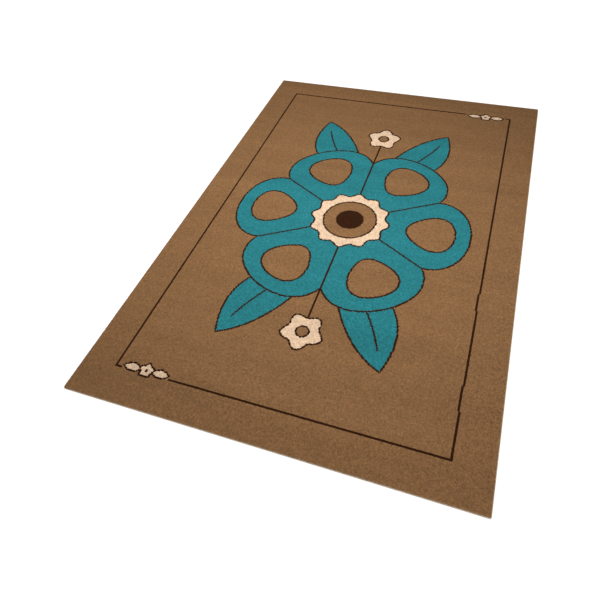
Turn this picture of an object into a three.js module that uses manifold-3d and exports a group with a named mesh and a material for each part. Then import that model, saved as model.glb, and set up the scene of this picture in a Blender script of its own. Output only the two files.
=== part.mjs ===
// A plush area rug that lies flat on the floor: one panel of cut-pile cloth, with an overlocked edge sewn
// along each of its four sides. Millimetres, +Z up. +Y runs along the rug's length towards its far end, +X
// across its width to the right, and the origin is the middle of the underside.
import * as THREE from 'three';
import * as BufferGeometryUtils from 'three/addons/utils/BufferGeometryUtils.js';
import Module from 'manifold-3d';

// Finished size, measured over the overlocked edges
const RUG_WIDTH = 1200;
const RUG_LENGTH = 1800;
const RUG_THICKNESS = 10;          // from the floor to the tips of the pile
const CORNER_RADIUS = 6;           // of a finished corner, seen from above

// Cloth
const GROUND_THICKNESS = 1.6;      // woven ground that the pile is tied into, bare along its cut edge
const PILE_SETBACK = 2;            // the pile stops this far inside the overlock's outer face
const PILE_ROUNDING = 2;           // the upper edge of the pile, worn round

// Overlock stitch, a round cord-like wrap over the ground's cut edge, mostly covered by the pile
const YARN_THICKNESS = 1.3;        // one layer of the stitch's yarn
const STITCH_DEPTH = 6.5;          // how far the stitch reaches in from the rug's outer face
const STITCH_ROUNDING = 2;         // the stitch's outer edges, above and below

// Between pieces that lie against each other
const CLEARANCE = 0.3;

// Resolution of the rounded outlines and edges
const CORNER_SEGMENTS = 6;
const ROUNDING_SEGMENTS = 4;

// Heights that follow: the stitch lies under the ground's cut edge, around it, and on top of it
const groundBottom = YARN_THICKNESS + CLEARANCE;
const groundTop = groundBottom + GROUND_THICKNESS;
const overlockHeight = groundTop + CLEARANCE + YARN_THICKNESS;
const pileOverhangBottom = overlockHeight + CLEARANCE;

const PILE_COLOUR = new THREE.Color().setRGB(0.53, 0.39, 0.26, THREE.SRGBColorSpace);
const YARN_COLOUR = new THREE.Color().setRGB(0.75, 0.68, 0.6, THREE.SRGBColorSpace);

const wasm = await Module();
wasm.setup();

// The rug's outline, moved in from the finished edge by an inset.
function outline(inset) {
  const halfWidth = RUG_WIDTH / 2 - inset;
  const halfLength = RUG_LENGTH / 2 - inset;
  const radius = Math.max(CORNER_RADIUS - inset, 1);
  const shape = new THREE.Shape();
  shape.absarc(halfWidth - radius, halfLength - radius, radius, 0, Math.PI / 2);
  shape.absarc(radius - halfWidth, halfLength - radius, radius, Math.PI / 2, Math.PI);
  shape.absarc(radius - halfWidth, radius - halfLength, radius, Math.PI, 1.5 * Math.PI);
  shape.absarc(halfWidth - radius, radius - halfLength, radius, 1.5 * Math.PI, 2 * Math.PI);
  shape.closePath();
  return shape;
}

// A shape raised from one height to another, with its upper and lower edges rounded over if asked.
function slab(shape, bottom, top, rounding = 0) {
  const geometry = new THREE.ExtrudeGeometry(shape, {
    depth: top - bottom - 2 * rounding,
    curveSegments: CORNER_SEGMENTS,
    bevelEnabled: rounding > 0,
    bevelThickness: rounding,
    bevelSize: rounding,
    bevelOffset: -rounding,
    bevelSegments: ROUNDING_SEGMENTS,
  });
  geometry.translate(0, 0, bottom + rounding);
  return geometry;
}

function toSolid(geometry) {
  const bare = geometry.clone();
  bare.deleteAttribute('normal');
  bare.deleteAttribute('uv');
  const welded = BufferGeometryUtils.mergeVertices(bare, 1e-4);
  return new wasm.Manifold(new wasm.Mesh({
    numProp: 3,
    vertProperties: Float32Array.from(welded.attributes.position.array),
    triVerts: Uint32Array.from(welded.index.array),
  }));
}

function toMesh(name, solid, colour) {
  const { vertProperties, triVerts } = solid.getMesh();
  const geometry = new THREE.BufferGeometry();
  geometry.setAttribute('position', new THREE.BufferAttribute(Float32Array.from(vertProperties), 3));
  geometry.setIndex(new THREE.BufferAttribute(Uint32Array.from(triVerts), 1));
  const shaded = geometry.toNonIndexed();
  shaded.computeVertexNormals();
  const material = new THREE.MeshStandardMaterial({ color: colour, roughness: 1, metalness: 0 });
  const mesh = new THREE.Mesh(shaded, material);
  mesh.name = name;
  return mesh;
}

// The cloth panel: its body lies on the floor, the bare edge of the ground stands out from it all round,
// and the pile above overhangs that edge and the stitch on it.
function makeCloth() {
  const bodyInset = STITCH_DEPTH + CLEARANCE;
  const body = toSolid(slab(outline(bodyInset), 0, RUG_THICKNESS - PILE_ROUNDING));
  const groundEdge = toSolid(slab(outline(YARN_THICKNESS + CLEARANCE), groundBottom, groundTop));
  const roundedPile = toSolid(slab(outline(PILE_SETBACK), 0, RUG_THICKNESS, PILE_ROUNDING));
  const pileRange = toSolid(slab(outline(0), pileOverhangBottom, RUG_THICKNESS));
  return body.add(groundEdge).add(roundedPile.intersect(pileRange));
}

// The overlock stitch as one ring round the whole rug: rounded outside, with a slot inside that the
// ground's cut edge sits in.
function makeOverlockRing() {
  const wrap = toSolid(slab(outline(0), 0, overlockHeight, STITCH_ROUNDING));
  const inside = toSolid(slab(outline(STITCH_DEPTH), -CLEARANCE, overlockHeight + CLEARANCE));
  const slot = toSolid(slab(outline(YARN_THICKNESS), groundBottom - CLEARANCE, groundTop + CLEARANCE));
  return wrap.subtract(inside).subtract(slot);
}

// The region of one side of the rug, mitred at both corners, where the stitch of one side meets the next.
function sideRegion(faceDistance, halfRun, turn) {
  const reach = 2 * STITCH_DEPTH;
  const mitreGap = CLEARANCE / Math.SQRT2;
  const outerRun = halfRun + reach - mitreGap;
  const innerRun = halfRun - reach - mitreGap;
  const shape = new THREE.Shape([
    new THREE.Vector2(faceDistance + reach, -outerRun),
    new THREE.Vector2(faceDistance + reach, outerRun),
    new THREE.Vector2(faceDistance - reach, innerRun),
    new THREE.Vector2(faceDistance - reach, -innerRun),
  ]);
  return toSolid(slab(shape, -CLEARANCE, RUG_THICKNESS).rotateZ(turn));
}

const SIDES = [
  { name: 'overlock_right', faceDistance: RUG_WIDTH / 2, halfRun: RUG_LENGTH / 2, turn: 0 },
  { name: 'overlock_far', faceDistance: RUG_LENGTH / 2, halfRun: RUG_WIDTH / 2, turn: Math.PI / 2 },
  { name: 'overlock_left', faceDistance: RUG_WIDTH / 2, halfRun: RUG_LENGTH / 2, turn: Math.PI },
  { name: 'overlock_near', faceDistance: RUG_LENGTH / 2, halfRun: RUG_WIDTH / 2, turn: -Math.PI / 2 },
];

const rug = new THREE.Group();
rug.name = 'plush_area_rug';
rug.add(toMesh('pile_cloth', makeCloth(), PILE_COLOUR));

const overlockRing = makeOverlockRing();
for (const { name, faceDistance, halfRun, turn } of SIDES) {
  const side = overlockRing.intersect(sideRegion(faceDistance, halfRun, turn));
  rug.add(toMesh(name, side, YARN_COLOUR));
}

export default rug;
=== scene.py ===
# A plush area rug that lies flat on the floor: a woven ground cloth, a short cut pile in four colours of
# yarn, and an overlocked edge along each side. Metres, +X across the width to the right, +Y along the
# length to the far end, +Z up.
from math import radians

import bpy
import numpy as np
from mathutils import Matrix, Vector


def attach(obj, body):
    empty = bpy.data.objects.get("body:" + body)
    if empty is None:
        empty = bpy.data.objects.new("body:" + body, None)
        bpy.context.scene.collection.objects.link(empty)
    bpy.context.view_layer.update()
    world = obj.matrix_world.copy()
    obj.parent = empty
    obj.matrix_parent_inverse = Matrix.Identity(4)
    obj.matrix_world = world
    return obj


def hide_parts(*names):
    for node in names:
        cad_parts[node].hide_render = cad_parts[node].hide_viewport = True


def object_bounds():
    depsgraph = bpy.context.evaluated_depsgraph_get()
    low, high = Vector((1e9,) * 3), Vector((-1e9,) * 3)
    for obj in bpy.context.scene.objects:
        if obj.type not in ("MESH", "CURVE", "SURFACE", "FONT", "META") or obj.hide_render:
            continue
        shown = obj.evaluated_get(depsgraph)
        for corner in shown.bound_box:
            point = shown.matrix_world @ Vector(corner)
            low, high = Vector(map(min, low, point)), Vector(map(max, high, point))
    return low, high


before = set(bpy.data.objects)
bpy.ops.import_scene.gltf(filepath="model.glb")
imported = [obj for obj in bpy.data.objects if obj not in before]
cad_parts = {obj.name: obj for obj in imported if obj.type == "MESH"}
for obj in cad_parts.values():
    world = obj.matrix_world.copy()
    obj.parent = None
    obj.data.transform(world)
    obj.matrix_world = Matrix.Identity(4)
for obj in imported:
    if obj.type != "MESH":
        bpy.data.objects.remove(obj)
cad_low, cad_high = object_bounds()

# Camera: it stands at the rug's near end, right of the rug's middle, and looks down over it to the far
# left. Its picture is a part of a larger one, so its middle column isn't the one that it points at.
CAMERA_PLACE = (0.3916, -1.3437, 1.2595)
CAMERA_TURN = (39.33, 3.25, 18.51)  # degrees about X, Y and Z
SENSOR_WIDTH = 36             # millimetres, as the lens
LENS = 30.594
PICTURE_WIDTH = 600
MIDDLE_COLUMN = 315           # the picture's column that the camera points at

camera_data = bpy.data.cameras.new("camera")
camera_data.sensor_width = SENSOR_WIDTH
camera_data.lens = LENS
camera_data.shift_x = (PICTURE_WIDTH / 2 - MIDDLE_COLUMN) / PICTURE_WIDTH
camera = bpy.data.objects.new("camera", camera_data)
camera.location = CAMERA_PLACE
camera.rotation_euler = [radians(angle) for angle in CAMERA_TURN]
bpy.context.collection.objects.link(camera)
bpy.context.scene.camera = camera

# Floor: a seamless sheet of matt studio paper, lit from behind so that it shows as good as pure white.
# The rug lies loose on it, and the paper runs on to the horizon.
FLOOR_REACH = 40.0
FLOOR_COLOUR = (0.16, 0.159, 0.157)
FLOOR_GLOW = (0.93, 0.93, 0.93)


def add_surface(name, points, faces):
    """A mesh object from points, one row each, and faces, a list of arrays that each hold polygons with one
    number of corners."""
    sizes = np.concatenate([np.full(len(group), group.shape[1]) for group in faces])
    corners = np.concatenate([group.ravel() for group in faces])
    mesh = bpy.data.meshes.new(name)
    mesh.vertices.add(len(points))
    mesh.vertices.foreach_set("co", np.asarray(points, np.float32).ravel())
    mesh.loops.add(len(corners))
    mesh.loops.foreach_set("vertex_index", corners.astype(np.int32))
    mesh.polygons.add(len(sizes))
    mesh.polygons.foreach_set("loop_start", (np.cumsum(sizes) - sizes).astype(np.int32))
    mesh.update(calc_edges=True)
    piece = bpy.data.objects.new(name, mesh)
    bpy.context.collection.objects.link(piece)
    return piece


def add_material(name, **settings):
    """A material with a Principled shader, whose sockets take the settings. Gives the material, a function
    that adds its nodes, and the shader."""
    material = bpy.data.materials.new(name)
    material.use_nodes = True
    tree = material.node_tree
    shader = tree.nodes["Principled BSDF"]
    for socket, value in settings.items():
        shader.inputs[socket.replace("_", " ")].default_value = value

    def add_node(kind, links=(), **values):
        node = tree.nodes.new(kind)
        for key, value in values.items():
            setattr(node, key, value)
        for socket, source in links:
            if isinstance(source, bpy.types.NodeSocket):
                tree.links.new(source, node.inputs[socket])
            else:
                node.inputs[socket].default_value = source
        return node

    return material, add_node, shader


reach = FLOOR_REACH * np.array([[-1, -1, 0], [1, -1, 0], [1, 1, 0], [-1, 1, 0]])
floor = add_surface("floor", reach, [np.array([[0, 1, 2, 3]])])
paper, _, _ = add_material(
    "studio_paper", Base_Color=(*FLOOR_COLOUR, 1), Roughness=1.0,
    Emission_Color=(*FLOOR_GLOW, 1), Emission_Strength=1.0)
floor.data.materials.append(paper)

# Studio light: a bright white room, and one large soft box that hangs low over the rug, a little left of
# its middle. Its long side runs from far left to near right.
ROOM_COLOUR = (1.0, 0.995, 0.985)
ROOM_LIGHT = 0.50
SOFT_BOX_PLACE = (-0.06, -0.08, 0.775)
SOFT_BOX_SIZE = (1.50, 1.83)
SOFT_BOX_TURN = 69.3          # degrees about Z
SOFT_BOX_WATTS = 18.4

world = bpy.data.worlds.new("room")
world.use_nodes = True
world.node_tree.nodes["Background"].inputs["Color"].default_value = (*ROOM_COLOUR, 1)
world.node_tree.nodes["Background"].inputs["Strength"].default_value = ROOM_LIGHT
bpy.context.scene.world = world
bpy.context.scene.view_settings.view_transform = "Standard"

light_data = bpy.data.lights.new("soft_box", "AREA")
light_data.shape = "RECTANGLE"
light_data.size, light_data.size_y = SOFT_BOX_SIZE
light_data.energy = SOFT_BOX_WATTS
soft_box = bpy.data.objects.new("soft_box", light_data)
soft_box.location = SOFT_BOX_PLACE
soft_box.rotation_euler.z = radians(SOFT_BOX_TURN)
soft_box.visible_camera = False
bpy.context.collection.objects.link(soft_box)

# Ground cloth: one flat woven panel of beige weft and warp that the pile is tied into. Its body lies on
# the floor, and its cut edge is a thinner tongue all round that the overlock stitch wraps.
RUG_HALF = np.array([cad_high.x, cad_high.y])
GROUND_TOP = 0.0032
# The hollows' colour is a painted shade between the threads; the threads' colour is their own.
THREAD_COLOURS = ((0.36, 0.28, 0.19), (0.50, 0.41, 0.30))  # linear, in the hollows and on the threads
THREAD_PITCH = 0.0033
THREAD_RELIEF = 0.0006
THREAD_FIBRES = 900.0         # to a metre
CORNER_STEPS = 6              # in which every corner of the rug is turned
GROUND_EDGE = np.array([      # from the underside out to the tongue and up to the top
    # inset   height      corner radius
    (0.0068, 0.0, 0.0010),
    (0.0068, 0.0016, 0.0010),
    (0.0016, 0.0016, 0.0044),
    (0.0016, GROUND_TOP, 0.0044),
])


def rounded_outline(inset, height, radius):
    """Points round the rug at one inset and height: at each corner, a quarter of a circle about a centre
    that lies the inset and the radius inside both sides."""
    turn = np.linspace(0, np.pi / 2, CORNER_STEPS + 1)
    corners = []
    for quarter, side in enumerate([(1, 1), (-1, 1), (-1, -1), (1, -1)]):
        centre = np.array(side) * (RUG_HALF - inset - radius)
        angle = turn + quarter * np.pi / 2
        arc = centre + radius * np.stack([np.cos(angle), np.sin(angle)], 1)
        corners.append(np.column_stack([arc, np.full(len(arc), height)]))
    return np.concatenate(corners)


rings = [rounded_outline(*row) for row in GROUND_EDGE]
count = len(rings[0])
here = np.arange(count)
after = (here + 1) % count
walls = [
    np.stack([here, after, after + count, here + count], 1) + count * ring
    for ring in range(len(rings) - 1)
]
underside = here[None, ::-1]
upper_side = here[None, :] + count * (len(rings) - 1)
ground_cloth = add_surface("ground_cloth", np.concatenate(rings), [*walls, underside, upper_side])

weave, add_node, shader = add_material(
    "ground_weave", Roughness=0.95, Specular_IOR_Level=0.15, Sheen_Weight=0.1)
place = add_node("ShaderNodeTexCoord").outputs["Object"]
# The bands of a wave texture repeat every pi / 10 over its scale.
weft, warp = (
    add_node(
        "ShaderNodeTexWave",
        [("Vector", place), ("Scale", np.pi / THREAD_PITCH / 10), ("Distortion", 0.6),
         ("Detail", 1.0), ("Detail Scale", 3.0)],
        bands_direction=direction)
    for direction in "YX"
)
threads = add_node(
    "ShaderNodeMath", [(0, weft.outputs["Fac"]), (1, warp.outputs["Fac"])], operation="MULTIPLY")
fibre = add_node("ShaderNodeTexNoise", [("Vector", place), ("Scale", THREAD_FIBRES), ("Detail", 3.0)])
# The weave's height also picks its colour: painted shade in the hollows between threads, with the fibres'
# own random tone on top.
weave_height_and_shade = add_node(
    "ShaderNodeMath", [(0, fibre.outputs["Fac"]), (1, 0.4), (2, threads.outputs[0])],
    operation="MULTIPLY_ADD")
tone = add_node("ShaderNodeValToRGB", [("Fac", weave_height_and_shade.outputs[0])])
for element, colour in zip(tone.color_ramp.elements, THREAD_COLOURS):
    element.color = (*colour, 1)
relief = add_node(
    "ShaderNodeBump", [("Height", weave_height_and_shade.outputs[0]), ("Distance", THREAD_RELIEF), ("Strength", 0.8)])
weave.node_tree.links.new(tone.outputs["Color"], shader.inputs["Base Color"])
weave.node_tree.links.new(relief.outputs["Normal"], shader.inputs["Normal"])
ground_cloth.data.materials.append(weave)
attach(ground_cloth, "root")

# Design: the colour of the yarn in each tuft, woven in as the loom sets it. A large open flower with
# leaves and two blossoms stands in a thin border line, which a small spray parts at two of its corners.
TUFTS_ACROSS = 356
TUFTS_ALONG = 535
FLAT_INSET = 0.0040           # the pile is level inside this distance from the rug's outer face
BROWN, TEAL, CREAM, DARK = range(4)
LINE_WIDTH = 0.0062           # of every outline in the design
PETALS = 6
PETAL_MIDDLE = 0.262          # distance of a petal's middle from the flower's
PETAL_SIZE = (0.335, 0.330)
PETAL_TAPER = 0.25
EYE_MIDDLE = 0.292
EYE_SIZE = (0.170, 0.165)
EYE_TAPER = 0.30
COLLAR = (0.136, 12, 0.06)    # radius, number of lobes, and how far they stand out as a share of the radius
COLLAR_HOLE = 0.096
FLOWER_MIDDLE = 0.047
LEAF_FOOT = (0.045, 0.255)    # from the flower's middle, across and along the rug
LEAF_ANGLE = 58               # degrees up from the rug's width
LEAF_SIZE = (0.40, 0.165)
LEAF_BEND = -0.03
VEIN_ENDS = (0.14, 0.33)      # from the leaf's foot
BLOSSOM_PLACE = 0.520         # from the flower's middle along the rug
BLOSSOM = (0.060, 5, 0.14)
BLOSSOM_EYE = 0.020
STEM_LENGTH = 0.30
BORDER_INSET = 0.1111         # of the border line, from the rug's outer face
BORDER_JOGS = (               # stretches of its right side that lie one tuft further in
    (-0.65, -0.57),
    (-0.30, -0.23),
)
BORDER_SPRAYS = (             # where a spray parts the border line
    # end   from the left   off the line   width of the gap
    (-1, 0.2085, 0.009, 0.153),
    (1, 0.9880, -0.007, 0.164),
)
SPRAY_LEAF_SIZE = (0.056, 0.027)
SPRAY_LEAF_FOOT = 0.018       # from the spray's middle
SPRAY_BLOSSOM = (0.021, 5, 0.12)
SPRAY_EYE = 0.0050

flat_half = RUG_HALF - FLAT_INSET
tuft_pitch = 2 * flat_half / (TUFTS_ACROSS, TUFTS_ALONG)
tuft_x = (np.arange(TUFTS_ACROSS) + 0.5) * tuft_pitch[0] - flat_half[0]
tuft_y = (np.arange(TUFTS_ALONG) + 0.5) * tuft_pitch[1] - flat_half[1]
across, along = np.meshgrid(tuft_x, tuft_y)
yarn = np.full(across.shape, BROWN)


def weave_in(form, fill):
    """Sets the tufts inside a form to the fill, and outlines it. A form is below zero inside, and a tuft's
    distance from its edge is about the form's value there over the length of its slope."""
    slope = np.hypot(*np.gradient(form, *tuft_pitch[::-1]))
    distance = form / np.maximum(slope, 1e-6)
    yarn[distance < 0] = fill
    yarn[np.abs(distance) < LINE_WIDTH / 2] = DARK


def turned(x, y, middle, angle):
    """Coordinates along and across a direction, seen from a middle: the place less the middle, turned back
    by the direction's angle."""
    x, y = x - middle[0], y - middle[1]
    return x * np.cos(angle) + y * np.sin(angle), y * np.cos(angle) - x * np.sin(angle)


def leaf(u, v, size, bend):
    """The overlap of two equal discs, with its middle line bent as a parabola."""
    length, width = size
    radius = ((length / 2) ** 2 + (width / 2) ** 2) / width
    share = np.clip(u / length, 0, 1)
    v = v - bend * 4 * share * (1 - share)
    offset = radius - width / 2
    return np.maximum(np.hypot(u - length / 2, v + offset), np.hypot(u - length / 2, v - offset)) - radius


def blossom(u, v, radius, lobes, wave):
    """A disc whose radius swells by a share, once for each lobe, as a cosine of the angle."""
    return np.hypot(u, v) - radius * (1 + wave * np.cos(lobes * np.arctan2(v, u)))


def egg(u, v, size, taper):
    """An ellipse whose half width grows in step with the place along it."""
    place = u / (size[0] / 2)
    return np.hypot(place, v / (size[1] / 2 * (1 + taper * np.clip(place, -1, 1)))) - 1


for end in (-1, 1):
    for side in (-1, 1):
        u, v = turned(side * across, end * along, LEAF_FOOT, radians(LEAF_ANGLE))
        weave_in(leaf(u, v, LEAF_SIZE, LEAF_BEND), TEAL)
        vein = np.abs(v - LEAF_BEND * 4 * u / LEAF_SIZE[0] * (1 - u / LEAF_SIZE[0])) < LINE_WIDTH / 2
        yarn[vein & (u > VEIN_ENDS[0]) & (u < VEIN_ENDS[1])] = DARK
    u, v = turned(across, end * along, (0, BLOSSOM_PLACE), radians(90))
    yarn[(np.abs(v) < LINE_WIDTH / 2) & (u < 0) & (u > -STEM_LENGTH)] = DARK
    weave_in(blossom(u, v, *BLOSSOM), CREAM)
    weave_in(np.hypot(u, v) - BLOSSOM_EYE, BROWN)

radius = np.hypot(across, along)
sector = 2 * np.pi / PETALS
fold = (np.arctan2(along, across) + sector / 2) % sector - sector / 2
u, v = radius * np.cos(fold), radius * np.sin(fold)
petals = egg(u - PETAL_MIDDLE, v, PETAL_SIZE, PETAL_TAPER)
weave_in(petals, TEAL)
between = radius * np.sin(sector / 2 - np.abs(fold))
yarn[(petals < 0) & (between < LINE_WIDTH / 2)] = DARK
weave_in(egg(u - EYE_MIDDLE, v, EYE_SIZE, EYE_TAPER), BROWN)
weave_in(blossom(across, along, *COLLAR), CREAM)
weave_in(radius - COLLAR_HOLE, BROWN)
weave_in(radius - FLOWER_MIDDLE, DARK)

border_half = RUG_HALF - BORDER_INSET
beside = np.abs(across) - border_half[0]
for start, stop in BORDER_JOGS:
    beside += tuft_pitch[0] * ((across > 0) & (along > start) & (along < stop))
on_border = np.abs(np.maximum(beside, np.abs(along) - border_half[1])) < LINE_WIDTH / 2
for end, from_left, _, gap in BORDER_SPRAYS:
    on_border &= (np.abs(across - (from_left - RUG_HALF[0])) > gap / 2) | (end * along < 0)
yarn[on_border] = DARK
for end, from_left, off_line, _ in BORDER_SPRAYS:
    middle = (from_left - RUG_HALF[0], end * border_half[1] + off_line)
    for angle in (180, 0):
        u, v = turned(across, along, middle, radians(angle))
        weave_in(leaf(u - SPRAY_LEAF_FOOT, v, SPRAY_LEAF_SIZE, 0), CREAM)
    u, v = turned(across, along, middle, radians(90))
    weave_in(blossom(u, v, *SPRAY_BLOSSOM), CREAM)
    yarn[np.hypot(u, v) < SPRAY_EYE] = DARK

# Pile: short tufts of dyed yarn, tied into the ground cloth and cut level, each a small dome with its own
# shade. It rounds off at the rug's rim and overhangs the overlock stitch there. It is modelled in strips
# side by side, and nothing parts them on the real rug.
YARN_COLOURS = np.array([     # linear, in the order brown, teal, cream and dark
    (0.200, 0.1045, 0.0450),
    (0.0185, 0.158, 0.178),
    (0.576, 0.420, 0.290),
    (0.026, 0.0085, 0.0025),
])
TUFT_SHADE = (0.095, 0.25)    # usual and greatest departure from the yarn's colour, as a share of it
TUFT_TIP = 0.0099             # mean height of the tips
TIP_SPREAD = (0.00022, 0.0005)  # usual and greatest departure from it
TIP_LEAN = 0.10               # usual departure of a tip from its tuft's middle, as a share of the pitch
GAP_DEPTH = 0.0011            # of the hollow where four tufts meet, below the tips
GAP_SPREAD = 0.0003
GAP_SHIFT = 0.10              # greatest departure of a hollow from its place, as a share of the pitch
PILE_RIM = np.array([         # from the last upright tuft outwards, down and in again under the overhang
    # inset   height  corner radius
    (FLAT_INSET, 0.0088, 0.0),
    (0.0026, 0.0087, 0.0034),
    (0.0020, 0.0076, 0.0040),
    (0.0023, 0.00515, 0.0037),
    (0.0068, 0.00515, 0.0010),
    (0.0068, GROUND_TOP, 0.0010),
])
SHAGGY_RINGS = (1, 2, 3)      # those of the rim where its outer tufts end unevenly
SHAGGY_INSET = 0.0010
UNEVEN_RING = 2
UNEVEN_HEIGHT = 0.0006
RIM_PAINTED_LIGHT = 1.25               # painted light: the rim's faces are drawn this much lighter than the yarn
RIM_SHADE = (0.10, 0.25)
ARC_CROWDING = 0.1            # spacing of the rim's points past the start of a corner's arc, as a share
STRIPS = 5                    # from left to right
STRIP_FOLDS = 3               # each strip's map lies in this many runs side by side
FIBRES = (1400.0, 0.20)       # patches to a metre, and how far they lighten and darken the yarn
FIBRE_RELIEF = 0.0009
CRUSHED = (130.0, 0.14)       # where a few tufts lean alike
BRUSHED = (14.0, 0.03)
PAINTED_PILE_BANDS = ((0.9, 13, 1), 0.10)  # painted light and shade, in bands across the rug where the pile lies alike
PAINTED_PILE_BANDS_START = (0, 0, 3.4)

draw = np.random.default_rng(11)  # a fixed start, so that every run gives the same rug
rim_rings = len(PILE_RIM) - 1


def scatter(usual, greatest, shape):
    """Random departures from zero: a bell curve of the usual size, cut off at the greatest."""
    return np.clip(draw.normal(0, usual, shape), -greatest, greatest)


def tuft_corners(half, tufts):
    """One axis of the corners between tufts: even steps over the level pile, and then the rim's rings, which
    start from the last step. Gives the place and the number of the ring."""
    step = np.arange(-rim_rings, tufts + rim_rings + 1)
    place = (np.clip(step, 0, tufts) / tufts * 2 - 1) * half
    return place, np.maximum(-step, 0) + np.maximum(step - tufts, 0)


def along_side(place, arc_start, axis):
    """Distance from the rug's middle along one axis: it is the place itself up to the start of a corner's
    arc, and the points past it crowd together just before it."""
    return np.minimum(np.abs(place), arc_start - ARC_CROWDING * (flat_half[axis] - np.abs(place)))


corner_x, ring_x = tuft_corners(flat_half[0], TUFTS_ACROSS)
corner_y, ring_y = tuft_corners(flat_half[1], TUFTS_ALONG)
X, Y = np.meshgrid(corner_x, corner_y)
RX, RY = np.meshgrid(ring_x, ring_y)
ring = np.maximum(RX, RY)
level = ring == 0
inset, height, radius = np.moveaxis(PILE_RIM[ring], -1, 0)
inset = inset + np.isin(ring, SHAGGY_RINGS) * draw.uniform(0, SHAGGY_INSET, ring.shape)
height = height + (ring == UNEVEN_RING) * draw.uniform(-UNEVEN_HEIGHT, UNEVEN_HEIGHT, ring.shape)
turn = np.where(RX >= RY, RY / np.maximum(ring, 1), 2 - RX / np.maximum(ring, 1)) * np.pi / 4
arc_x = RUG_HALF[0] - inset - radius
arc_y = RUG_HALF[1] - inset - radius
shift = draw.uniform(-GAP_SHIFT, GAP_SHIFT, (2, *ring.shape)) * tuft_pitch[:, None, None] * level
gap_height = TUFT_TIP - GAP_DEPTH + draw.uniform(-GAP_SPREAD, GAP_SPREAD, ring.shape)
corners = np.stack([
    np.sign(X) * (along_side(X, arc_x, 0) + radius * np.cos(turn)) + shift[0],
    np.sign(Y) * (along_side(Y, arc_y, 1) + radius * np.sin(turn)) + shift[1],
    np.where(level, gap_height, height),
], -1)
lean = draw.normal(0, TIP_LEAN, (2, *yarn.shape)) * tuft_pitch[:, None, None]
tips = np.stack([
    across + lean[0],
    along + lean[1],
    TUFT_TIP + scatter(*TIP_SPREAD, yarn.shape),
], -1)
tuft_colours = YARN_COLOURS[yarn] * (1 + scatter(*TUFT_SHADE, yarn.shape))[..., None]

pile, add_node, shader = add_material(
    "cut_pile", Roughness=1.0, Specular_IOR_Level=0.03, Sheen_Weight=0.02, Sheen_Roughness=0.5)
place = add_node("ShaderNodeTexCoord").outputs["Object"]
dyed = add_node("ShaderNodeAttribute", attribute_name="yarn_colour").outputs["Color"]
fibres = add_node("ShaderNodeTexNoise", [("Vector", place), ("Scale", FIBRES[0]), ("Detail", 3.0)])
relief = add_node(
    "ShaderNodeBump", [("Height", fibres.outputs["Fac"]), ("Distance", FIBRE_RELIEF), ("Strength", 0.8)])
crushed = add_node("ShaderNodeTexNoise", [("Vector", place), ("Scale", CRUSHED[0]), ("Detail", 3.0)])
brushed = add_node("ShaderNodeTexNoise", [("Vector", place), ("Scale", BRUSHED[0]), ("Detail", 2.0)])
# Bands of painted light and shade that run across the rug, from a noise squeezed along its length.
pile_band_place = add_node(
    "ShaderNodeMapping", [("Vector", place), ("Location", PAINTED_PILE_BANDS_START), ("Scale", PAINTED_PILE_BANDS[0])])
painted_pile_bands = add_node(
    "ShaderNodeTexNoise",
    [("Vector", pile_band_place.outputs["Vector"]), ("Scale", 1.0), ("Detail", 3.0), ("Roughness", 0.6)])
# Each noise, which lies mostly between a quarter and three quarters, lightens and darkens the yarn.
for noise, (_, depth) in zip((fibres, crushed, brushed, painted_pile_bands), (FIBRES, CRUSHED, BRUSHED, PAINTED_PILE_BANDS)):
    light_and_dark = add_node(
        "ShaderNodeMapRange",
        [("Value", noise.outputs["Fac"]), ("From Min", 0.25), ("From Max", 0.75),
         ("To Min", 1 - depth), ("To Max", 1 + depth)])
    shaded = add_node(
        "ShaderNodeVectorMath", [(0, dyed), (1, light_and_dark.outputs["Result"])], operation="MULTIPLY")
    dyed = shaded.outputs["Vector"]
pile.node_tree.links.new(dyed, shader.inputs["Base Color"])
pile.node_tree.links.new(relief.outputs["Normal"], shader.inputs["Normal"])


def add_map(piece, column, row, runs):
    """The piece's own map, which its look can be baked into, from the grid column and row of each face
    corner. The grid is cut across its rows into runs of one length, which lie side by side."""
    column = column - column.min()
    starts = np.empty(len(piece.data.polygons), np.int32)
    piece.data.polygons.foreach_get("loop_start", starts)
    length = row.max() / runs
    run = np.minimum(np.minimum.reduceat(row, starts) // length, runs - 1)
    run = np.repeat(run, np.diff(np.append(starts, len(row))))
    sideways = (run + (column + 0.5) / (column.max() + 1)) / runs
    upwards = (row - run * length + 0.5) / (length + 2)
    uv = piece.data.uv_layers.new(name="OFBake")
    uv.data.foreach_set("uv", np.column_stack([sideways, upwards]).astype(np.float32).ravel())


def quads(low, high):
    """Four-sided faces between two rows of points, one from each pair of neighbours to the next pair."""
    return np.stack([low[:-1], high[:-1], high[1:], low[1:]], -1).reshape(-1, 4)


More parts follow.
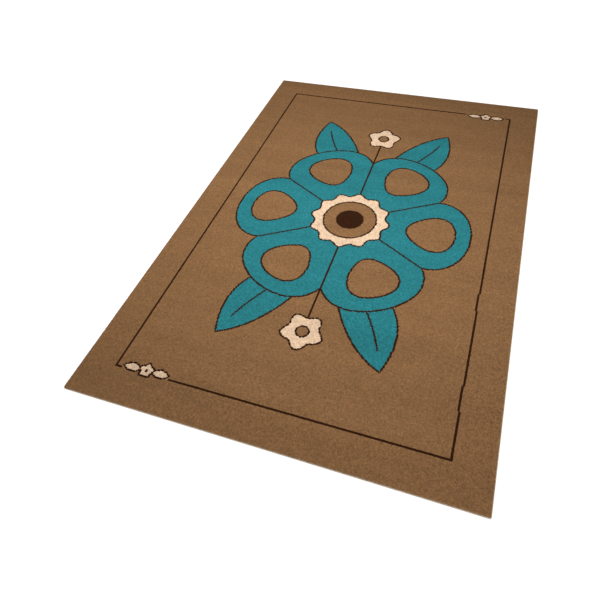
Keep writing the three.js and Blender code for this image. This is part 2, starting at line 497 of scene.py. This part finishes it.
def pile_strip(name, first, last):
    """One strip of the pile, from tuft column first up to last, as a closed mesh: four triangles to a tuft
    from its tip to its corners, the rim's rings, upright walls along the cuts, and an underside on the
    ground. Its outer sides are the rug's own, and have no cut."""
    outer_left, outer_right = first == 0, last == TUFTS_ACROSS
    left = 0 if outer_left else first + rim_rings
    right = last + rim_rings + 1 + (rim_rings if outer_right else 0)
    grid = corners[:, left:right]
    rows, columns = grid.shape[:2]
    index = np.arange(rows * columns).reshape(rows, columns)
    strip_tips = tips[:, first:last].reshape(-1, 3)
    tip = rows * columns + np.arange(len(strip_tips)).reshape(TUFTS_ALONG, last - first)
    start = rim_rings if outer_left else 0
    grid_row, grid_column = np.divmod(np.arange(rows * columns), columns)
    tip_row, tip_column = np.divmod(np.arange(len(strip_tips)), last - first)
    points = [grid.reshape(-1, 3), strip_tips]
    point_columns = [grid_column, tip_column + 0.5 + start]
    point_rows = [grid_row, tip_row + 0.5 + rim_rings]

    # The strip's feet stand on the ground: the rim's last ring along an outer side, new points along a cut.
    total = rows * columns + len(strip_tips)
    flat_rows = np.arange(rim_rings, rows - rim_rings)
    feet_arc = RUG_HALF[1] - PILE_RIM[-1, 0] - PILE_RIM[-1, 2]
    feet = []
    for column, outer in ((0, outer_left), (columns - 1, outer_right)):
        if outer:
            feet.append(index[flat_rows, column])
            continue
        foot = grid[flat_rows, column].copy()
        foot[:, 1] = np.sign(foot[:, 1]) * along_side(foot[:, 1], feet_arc, 1)
        foot[:, 2] = GROUND_TOP
        points.append(foot)
        point_columns.append(np.full(len(foot), column + (1 if column else -1)))
        point_rows.append(flat_rows)
        feet.append(total + np.arange(len(foot)))
        total += len(foot)
    feet_left, feet_right = feet

    tuft = index[rim_rings:rows - rim_rings, start:start + last - first + 1]
    a, b, c, d = tuft[:-1, :-1], tuft[:-1, 1:], tuft[1:, 1:], tuft[1:, :-1]
    triangles = [np.stack([p, q, tip], -1).reshape(-1, 3) for p, q in ((a, b), (b, c), (c, d), (d, a))]
    in_rim = np.ones((rows - 1, columns - 1), bool)
    in_rim[rim_rings:rows - 1 - rim_rings, start:start + last - first] = False
    rim = np.stack([index[:-1, :-1], index[:-1, 1:], index[1:, 1:], index[1:, :-1]], -1)[in_rim]
    underside = quads(feet_right, feet_left)
    faces = [*triangles, rim, underside]

    # A wall closes each cut, with one many-sided face where it meets the rim at either end.
    both_sides = ((feet_left, 0, outer_left, 1), (feet_right, columns - 1, outer_right, -1))
    for foot, column, outer, side in both_sides:
        if not outer:
            faces.append(quads(foot, index[flat_rows, column])[:, ::side])
            near = [foot[0], *index[rim_rings::-1, column]]
            far = [foot[-1], *index[rows - 1 - rim_rings:, column]]
            faces += [np.array([near[::-side]]), np.array([far[::side]])]

    # A many-sided face closes the underside at the near end and at the far end.
    ends = []
    for row, step, foot_row in ((0, 1, 0), (rows - 1, -1, -1)):
        rim_rows = index[row:row + step * rim_rings:step]
        loop = [feet_left[foot_row]]
        loop += list(rim_rows[:0:-1, 0]) if outer_left else []
        loop += list(index[row])
        loop += list(rim_rows[1:, -1]) if outer_right else []
        loop += [feet_right[foot_row]]
        ends.append(np.array([loop[::-step]]))
    strip = add_surface(name, np.concatenate(points), [*faces, *ends])

    # On the map the underside lies beside the walls, and the end faces are drawn thin.
    loops = np.concatenate([group.ravel() for group in [*faces, *ends]])
    column = np.concatenate(point_columns)[loops].astype(float)
    row = np.concatenate(point_rows)[loops].astype(float)
    before = sum(group.size for group in [*triangles, rim])
    column[before:before + underside.size].reshape(-1, 4)[:, 1:3] = columns + 1
    row[-ends[0].size - ends[1].size:-ends[1].size] = 0
    row[-ends[1].size:] = rows - 1
    add_map(strip, column, row, STRIP_FOLDS)

    # The rim's faces take the brown yarn with painted light on it, and a random tone each.
    rim_painted_light_and_tone = RIM_PAINTED_LIGHT + scatter(*RIM_SHADE, len(strip.data.polygons))
    colours = YARN_COLOURS[BROWN] * rim_painted_light_and_tone[:, None]
    by_tuft = tuft_colours[:, first:last].reshape(-1, 3)
    colours[:4 * len(by_tuft)] = np.tile(by_tuft, (4, 1))
    colours = np.column_stack([colours, np.ones(len(colours))])
    dye = strip.data.attributes.new("yarn_colour", "FLOAT_COLOR", "FACE")
    dye.data.foreach_set("color", colours.astype(np.float32).ravel())
    strip.data.shade_flat()
    strip.data.materials.append(pile)
    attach(strip, "root")
    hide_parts("pile_cloth")
    return strip


cuts = np.linspace(0, TUFTS_ACROSS, STRIPS + 1).astype(int)
strips = [pile_strip(f"pile_{n + 1}", cuts[n], cuts[n + 1]) for n in range(STRIPS)]

# Overlock: a beige yarn that wraps the ground cloth's cut edge in slanting stitches, close together. One
# wrap runs along each side of the rug, from the middle of one rounded corner to the middle of the next.
OVERLOCK_SECTION = np.array([  # over the edge from its inner end, under it, and back along its slot
    # inset   height
    (0.0065, 0.0048),
    (0.0030, 0.0048),
    (0.0014, 0.0045),
    (0.0004, 0.0036),
    (0.0, 0.0024),
    (0.0004, 0.0012),
    (0.0014, 0.0003),
    (0.0030, 0.0),
    (0.0065, 0.0),
    (0.0065, 0.0013),
    (0.0013, 0.0013),
    (0.0013, 0.0035),
    (0.0065, 0.0035),
])
OUTER_POINTS = slice(1, 8)    # those of the section that show the stitches
SLANT_POINTS = (0, 8, 9, 12)  # those at the inner ends of its upper and its lower side
SLANT_SIDES = (1, -1, -1, 1)
STITCH_CORE = (0.0034, 0.0024)  # inset and height that a groove is drawn in towards
STITCH_PITCH = 0.0036
STITCH_GROOVE = (0.00045, 0.0, 0.0)  # depth at each of a stitch's cross sections
STITCH_SLANT = 0.0012         # how far a stitch leans along the side, up and down from its middle
SLANT_FADE = 0.02             # the slant dies out over this length before a corner
CORNER_RADIUS = 0.006
INNER_RADIUS = 0.001
CORNER_START = 0.0087         # a corner's arc begins within this distance of the side's end
MITRE_GAP = 0.0003
OVERLOCK_FOLDS = 10
OVERLOCK_COLOUR = np.array([0.60, 0.48, 0.36])
STITCH_SHADE = (0.05, 0.12)
PLY_SCALE = (2400, 300, 1)    # streaks to a metre, along the side and round the stitch
PLY_TONE = 0.28
PLY_RELIEF = 0.0003

overlock_yarn, add_node, shader = add_material(
    "overlock_yarn", Roughness=0.9, Specular_IOR_Level=0.2, Sheen_Weight=0.1)
dyed = add_node("ShaderNodeAttribute", attribute_name="yarn_colour").outputs["Color"]
unrolled_place = add_node("ShaderNodeUVMap", uv_map="unrolled").outputs["UV"]
drawn_out = add_node("ShaderNodeMapping", [("Vector", unrolled_place), ("Scale", PLY_SCALE)])
plies = add_node(
    "ShaderNodeTexNoise", [("Vector", drawn_out.outputs["Vector"]), ("Scale", 1.0), ("Detail", 2.0)])
light_and_dark = add_node(
    "ShaderNodeMapRange",
    [("Value", plies.outputs["Fac"]), ("To Min", 1 - PLY_TONE), ("To Max", 1 + PLY_TONE)])
shaded = add_node(
    "ShaderNodeVectorMath", [(0, dyed), (1, light_and_dark.outputs["Result"])], operation="MULTIPLY")
relief = add_node(
    "ShaderNodeBump", [("Height", plies.outputs["Fac"]), ("Distance", PLY_RELIEF), ("Strength", 0.7)])
overlock_yarn.node_tree.links.new(shaded.outputs["Vector"], shader.inputs["Base Color"])
overlock_yarn.node_tree.links.new(relief.outputs["Normal"], shader.inputs["Normal"])


def overlock_side(name, half_run, face, turn):
    """The wraps along one side as a closed mesh: the section carried along the side and half way round both
    corners. It is drawn in at each groove, and slides along the side from its upper end to its lower one."""
    straight = half_run - CORNER_START
    stitches = round(2 * straight / STITCH_PITCH)
    run = np.linspace(-straight, straight, len(STITCH_GROOVE) * stitches + 1)[:, None]
    arc = np.linspace(0, np.pi / 4, CORNER_STEPS)[:, None]
    depth = np.tile(STITCH_GROOVE, stitches + 1)[:len(run), None]
    depth = np.concatenate([0 * arc, depth, 0 * arc])
    bend = np.concatenate([-arc[::-1], 0 * run, arc])
    inset, height = (OVERLOCK_SECTION[:, axis] + 0 * bend for axis in (0, 1))
    inward = STITCH_CORE - OVERLOCK_SECTION[OUTER_POINTS]
    inward /= np.linalg.norm(inward, axis=1)[:, None]
    inset[:, OUTER_POINTS] += depth * inward[:, 0]
    height[:, OUTER_POINTS] += depth * inward[:, 1]

    # The section's place along the side, with its slant, and its distance from the rug's middle.
    radius = np.maximum(CORNER_RADIUS - inset, INNER_RADIUS)
    slide = np.interp(np.arange(len(OVERLOCK_SECTION)), SLANT_POINTS, SLANT_SIDES) * STITCH_SLANT
    middle = run + slide * np.clip((straight - np.abs(run)) / SLANT_FADE, 0, 1)
    ends = half_run - inset[0] - radius[0] - MITRE_GAP / 2 ** 0.5 + 0 * arc
    place = np.concatenate([-ends, middle, ends]) + radius * np.sin(bend)
    outward = face - inset - radius * (1 - np.cos(bend))
    points = np.stack([
        outward * np.cos(turn) - place * np.sin(turn),
        outward * np.sin(turn) + place * np.cos(turn),
        height,
    ], -1)

    rows, columns = inset.shape
    index = np.arange(rows * columns).reshape(rows, columns)
    closed = np.concatenate([index, index[:, :1]], 1)
    sides = np.stack([closed[:-1, :-1], closed[:-1, 1:], closed[1:, 1:], closed[1:, :-1]], -1)
    sides = sides.reshape(-1, 4)
    wrap = add_surface(name, points.reshape(-1, 3), [sides, index[:1, ::-1], index[-1:]])

    # Two maps: one to bake into, and one in metres along the side and round the section, for the streaks.
    row, column = np.divmod(np.arange(len(sides)), columns)
    column = np.concatenate([(column[:, None] + (0, 1, 1, 0)).ravel(), np.zeros(2 * columns)])
    row = (row[:, None] + (0, 0, 1, 1)).ravel()
    row = np.concatenate([row, np.zeros(columns), np.full(columns, rows - 1.0)])
    add_map(wrap, column, row, OVERLOCK_FOLDS)
    girth = np.diff(np.append(OVERLOCK_SECTION, OVERLOCK_SECTION[:1], 0), axis=0)
    around = np.append(0, np.cumsum(np.linalg.norm(girth, axis=1)))[column.astype(int)]
    lengthwise = row * STITCH_PITCH / len(STITCH_GROOVE)
    unrolled = wrap.data.uv_layers.new(name="unrolled")
    unrolled.data.foreach_set("uv", np.column_stack([lengthwise, around]).astype(np.float32).ravel())

    # One shade to a stitch, and a few more for the corners.
    tone = 1 + scatter(*STITCH_SHADE, stitches + 5)
    tone = np.append(tone[np.arange(len(sides)) // columns // len(STITCH_GROOVE)], (1, 1))
    colours = np.column_stack([OVERLOCK_COLOUR * tone[:, None], np.ones(len(tone))])
    dye = wrap.data.attributes.new("yarn_colour", "FLOAT_COLOR", "FACE")
    dye.data.foreach_set("color", colours.astype(np.float32).ravel())
    wrap.data.polygons.foreach_set("use_smooth", np.arange(len(tone)) < len(sides))
    wrap.data.materials.append(overlock_yarn)
    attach(wrap, "root")
    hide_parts(name.replace("_yarn", ""))
    return wrap


overlocks = [
    overlock_side("overlock_yarn_right", RUG_HALF[1], RUG_HALF[0], 0),
    overlock_side("overlock_yarn_far", RUG_HALF[0], RUG_HALF[1], np.pi / 2),
    overlock_side("overlock_yarn_left", RUG_HALF[1], RUG_HALF[0], np.pi),
    overlock_side("overlock_yarn_near", RUG_HALF[0], RUG_HALF[1], -np.pi / 2),
]
